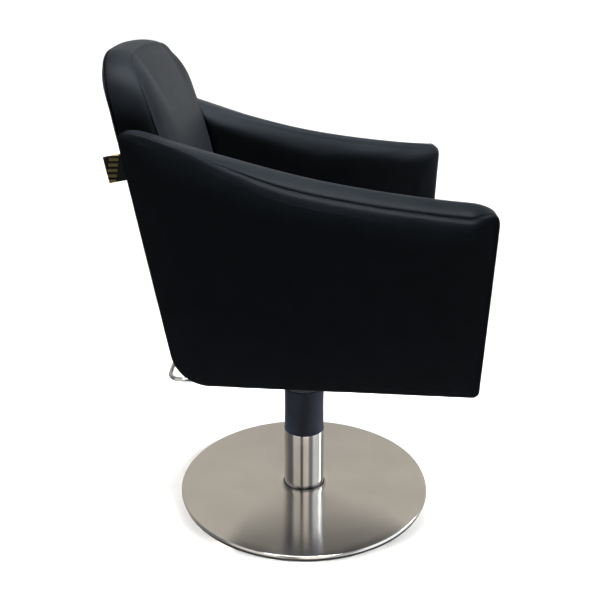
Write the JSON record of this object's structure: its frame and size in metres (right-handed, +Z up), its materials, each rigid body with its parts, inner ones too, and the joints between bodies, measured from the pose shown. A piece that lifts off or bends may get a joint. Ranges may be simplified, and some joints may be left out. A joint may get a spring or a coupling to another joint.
{
  "type": "styling chair",
  "caption": "Upholstered tub styling chair with sweeping arms on a round floor base, with a telescopic hydraulic column, swivel and foot hoop.",
  "frame": {"origin": "on the floor, on the column's axis, at the middle of the floor pad's underside", "axes": "+Z up along the column; the chair faces -Y, so +X is the seated person's left"},
  "size_m": [0.6572, 0.6151, 0.91],
  "materials": {
    "upholstery": "smooth black coated upholstery vinyl, satin",
    "base_cover": "radially brushed stainless steel",
    "chrome": "polished chrome",
    "sleeve": "satin black moulded plastic",
    "pump_head": "black powder-coated casting",
    "mount_plate": "black powder-coated steel",
    "steel": "zinc-plated steel",
    "bronze": "bearing bronze",
    "plywood": "birch plywood",
    "rubber": "black rubber",
    "label_tape": "black woven tape with plain gold bars"
  },
  "bodies": {
    "base": {"base_cover": "base_cover", "base_plate": "mount_plate", "column_gasket": "rubber", "column_tube": "chrome", "floor_pad": "rubber", "foot_bolt_1": "steel", "foot_bolt_2": "steel", "foot_bolt_3": "steel", "foot_bolt_4": "steel", "gland_nut": "steel", "guide_bush": "bronze", "pump_cylinder": "steel", "rod_seal": "rubber", "tube_locating_ring": "steel"},
    "piston": {"king_nut": "steel", "lower_race": "steel", "piston_head": "bronze", "piston_nut": "steel", "piston_rod": "chrome", "piston_seal": "rubber"},
    "seat": {"arm_board_left": "plywood", "arm_board_right": "plywood", "arm_bolt_front_left": "steel", "arm_bolt_front_right": "steel", "arm_bolt_rear_left": "steel", "arm_bolt_rear_right": "steel", "arm_pad_left": "upholstery", "arm_pad_right": "upholstery", "back_board": "plywood", "back_bolt_left": "steel", "back_bolt_right": "steel", "back_pad": "upholstery", "column_sleeve": "sleeve", "head_bolt_1": "steel", "head_bolt_2": "steel", "head_bolt_3": "steel", "head_bolt_4": "steel", "label_tab": "label_tape", "lever_pin": "steel", "mount_plate": "mount_plate", "plate_bolt_1": "steel", "plate_bolt_2": "steel", "plate_bolt_3": "steel", "plate_bolt_4": "steel", "plunger_spring": "steel", "pump_head": "pump_head", "seat_apron": "upholstery", "seat_cushion": "upholstery", "seat_frame": "plywood", "thrust_washer": "bronze", "under_panel": "sleeve", "upper_race": "steel"},
    "lever": {"lever_hoop": "chrome", "lever_hub": "steel"},
    "plunger": {"pump_plunger": "chrome"}
  },
  "joints": [
    {"name": "seat_lift", "type": "slide", "parent": "base", "child": "piston", "axis": [0, 0, 1], "range_m": [0, 0.1]},
    {"name": "seat_swivel", "type": "hinge", "parent": "piston", "child": "seat", "pos_m": [0, 0, 0.26], "axis": [0, 0, 1], "continuous": true},
    {"name": "pump_lever", "type": "hinge", "parent": "seat", "child": "lever", "pos_m": [0, 0.064, 0.282], "axis": [1, 0, 0], "range_deg": [-14, 0], "stiffness_Nm_per_rad": 6, "springref_deg": 20.05},
    {"name": "plunger_slide", "type": "slide", "parent": "seat", "child": "plunger", "axis": [0, 0, 1], "range_m": [0, 0.0036], "deforming": ["plunger_spring"]}
  ],
  "couplings": [
    {"joint": "plunger_slide", "follows": "pump_lever", "m_per_rad": -0.014}
  ]
}
